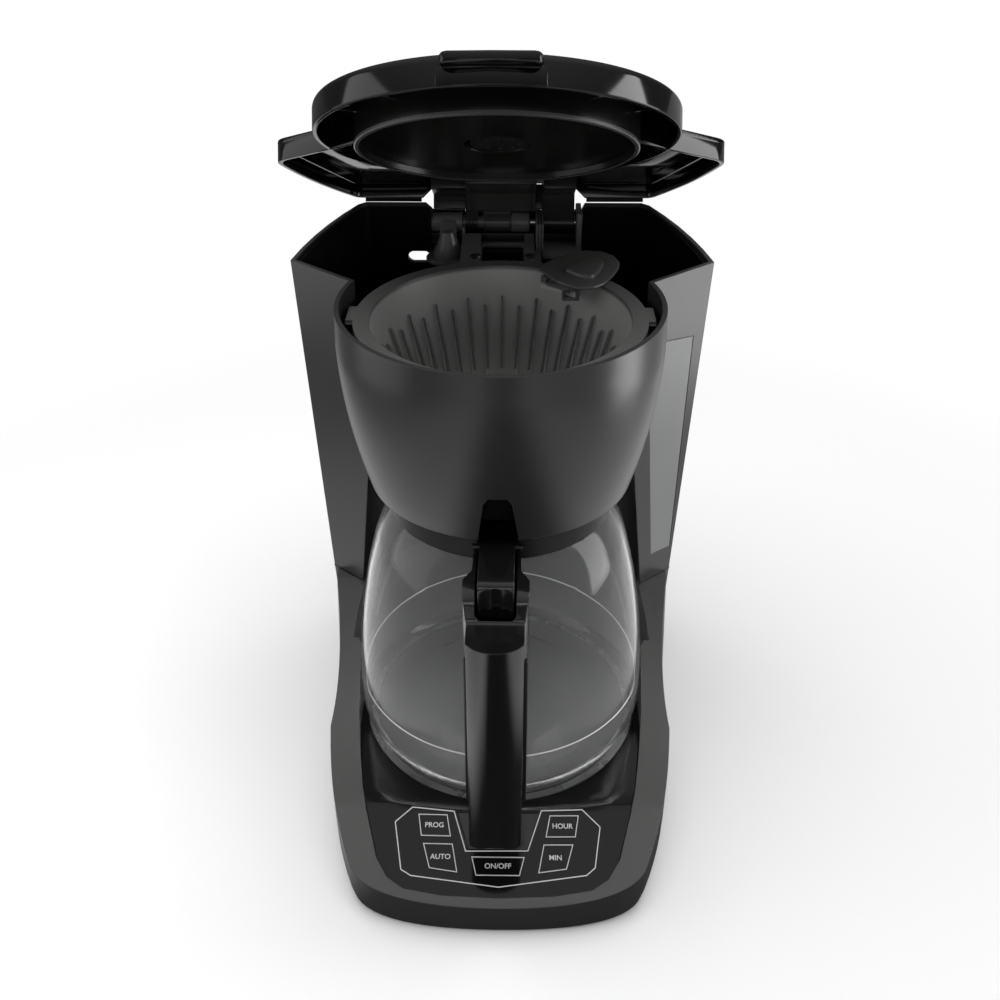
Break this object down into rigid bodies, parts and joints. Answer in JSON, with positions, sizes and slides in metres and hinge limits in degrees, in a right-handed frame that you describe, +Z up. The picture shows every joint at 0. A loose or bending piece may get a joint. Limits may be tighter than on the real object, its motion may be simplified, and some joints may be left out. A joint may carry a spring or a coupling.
{
  "type": "drip coffee maker",
  "caption": "Drip coffee maker with a hinged lid, lift-out filter basket, water tank with a side window, warming plate, push-button panel and lidded glass carafe.",
  "frame": {"origin": "middle of the footprint of the part as it stands with its lid open, on the surface it stands on", "axes": "+X to the right seen from the front, +Y to the back, +Z up; the side with the panel and carafe handle faces -Y"},
  "size_m": [0.211, 0.2685, 0.3899],
  "materials": {
    "housing_grey": "satin dark grey moulded plastic",
    "gloss_black": "gloss black plastic",
    "liner_black": "black plastic inside the housing",
    "basket_grey": "satin grey plastic",
    "carafe_glass": "clear glass",
    "window_clear": "frosted clear plastic",
    "steel": "plain steel",
    "aluminium": "plain aluminium",
    "plate_coat": "dark non-stick coat on steel",
    "rubber": "matt rubber",
    "circuit_board": "green circuit board",
    "display": "dark display glass",
    "ceramic": "off-white moulding"
  },
  "bodies": {
    "machine": {"base_shell": "housing_grey", "bottom_cover": "liner_black", "rubber_feet": "rubber", "cover_screws": "steel", "deck_panel": "gloss_black", "display_lens": "display", "lcd_module": "display", "control_board": "circuit_board", "board_switches": "liner_black", "warming_plate": "plate_coat", "plate_ring": "steel", "heating_element": "steel", "water_channel": "aluminium", "heater_clamp": "steel", "thermostat": "ceramic", "thermal_fuse": "steel", "cold_hose": "rubber", "check_valve": "ceramic", "hot_hose": "rubber", "cord_inlet": "liner_black", "upper_housing": "housing_grey", "water_window": "window_clear", "water_tank": "liner_black", "tank_grommet": "rubber", "basket_well": "liner_black", "riser_tube": "steel", "riser_elbow": "liner_black", "swivel_tube": "gloss_black", "hinge_bridge": "basket_grey", "hinge_pin": "steel", "housing_screws": "steel"},
    "lid": {"lid_cover": "gloss_black", "lid_tab": "gloss_black", "splash_ring": "gloss_black", "lid_hinge": "gloss_black", "water_arm": "basket_grey", "shower_head": "liner_black"},
    "basket": {"filter_basket": "basket_grey", "valve_cage": "basket_grey", "valve_spring": "steel"},
    "carafe": {"carafe_glass": "carafe_glass", "carafe_collar": "gloss_black", "carafe_handle": "gloss_black", "handle_insert": "liner_black", "handle_screw": "steel", "lid_pin": "steel"},
    "basket_grip": {"basket_handle": "basket_grey"},
    "valve": {"drip_valve": "rubber"},
    "carafe_cap": {"carafe_lid": "gloss_black"},
    "prog_key": {"prog_button": "gloss_black"},
    "auto_key": {"auto_button": "gloss_black"},
    "power_key": {"power_button": "gloss_black"},
    "hour_key": {"hour_button": "gloss_black"},
    "minute_key": {"minute_button": "gloss_black"}
  },
  "joints": [
    {"name": "lid_hinge", "type": "hinge", "parent": "machine", "child": "lid", "pos_m": [0, 0.122, 0.267], "axis": [-1, 0, 0], "range_deg": [-28.9, 60]},
    {"name": "basket_lift", "type": "slide", "parent": "machine", "child": "basket", "axis": [0, 0, 1], "range_m": [0, 0.02]},
    {"name": "basket_handle_fold", "type": "hinge", "parent": "basket", "child": "basket_grip", "pos_m": [0.02768, 0.02624, 0.2714], "axis": [0.7986, -0.6018, 0], "range_deg": [0, 70]},
    {"name": "drip_valve_lift", "type": "slide", "parent": "basket", "child": "valve", "axis": [0, 0, 1], "range_m": [0, 0.0025], "stiffness_N_per_m": 150, "springref_m": -0.003, "deforming": ["valve_spring"]},
    {"name": "carafe_slide", "type": "slide", "parent": "machine", "child": "carafe", "axis": [0, -1, 0], "range_m": [0, 0.17]},
    {"name": "carafe_lid_hinge", "type": "hinge", "parent": "carafe", "child": "carafe_cap", "pos_m": [-0.00062, -0.0685, 0.186], "axis": [0.9999, -0.0105, 0], "range_deg": [0, 5]},
    {"name": "prog_press", "type": "slide", "parent": "machine", "child": "prog_key", "axis": [0, 0.3371, -0.9415], "range_m": [0, 0.0006], "stiffness_N_per_m": 600},
    {"name": "auto_press", "type": "slide", "parent": "machine", "child": "auto_key", "axis": [0, 0.3371, -0.9415], "range_m": [0, 0.0006], "stiffness_N_per_m": 600},
    {"name": "power_press", "type": "slide", "parent": "machine", "child": "power_key", "axis": [0, 0.3371, -0.9415], "range_m": [0, 0.0006], "stiffness_N_per_m": 600},
    {"name": "hour_press", "type": "slide", "parent": "machine", "child": "hour_key", "axis": [0, 0.3371, -0.9415], "range_m": [0, 0.0006], "stiffness_N_per_m": 600},
    {"name": "minute_press", "type": "slide", "parent": "machine", "child": "minute_key", "axis": [0, 0.3371, -0.9415], "range_m": [0, 0.0006], "stiffness_N_per_m": 600}
  ]
}
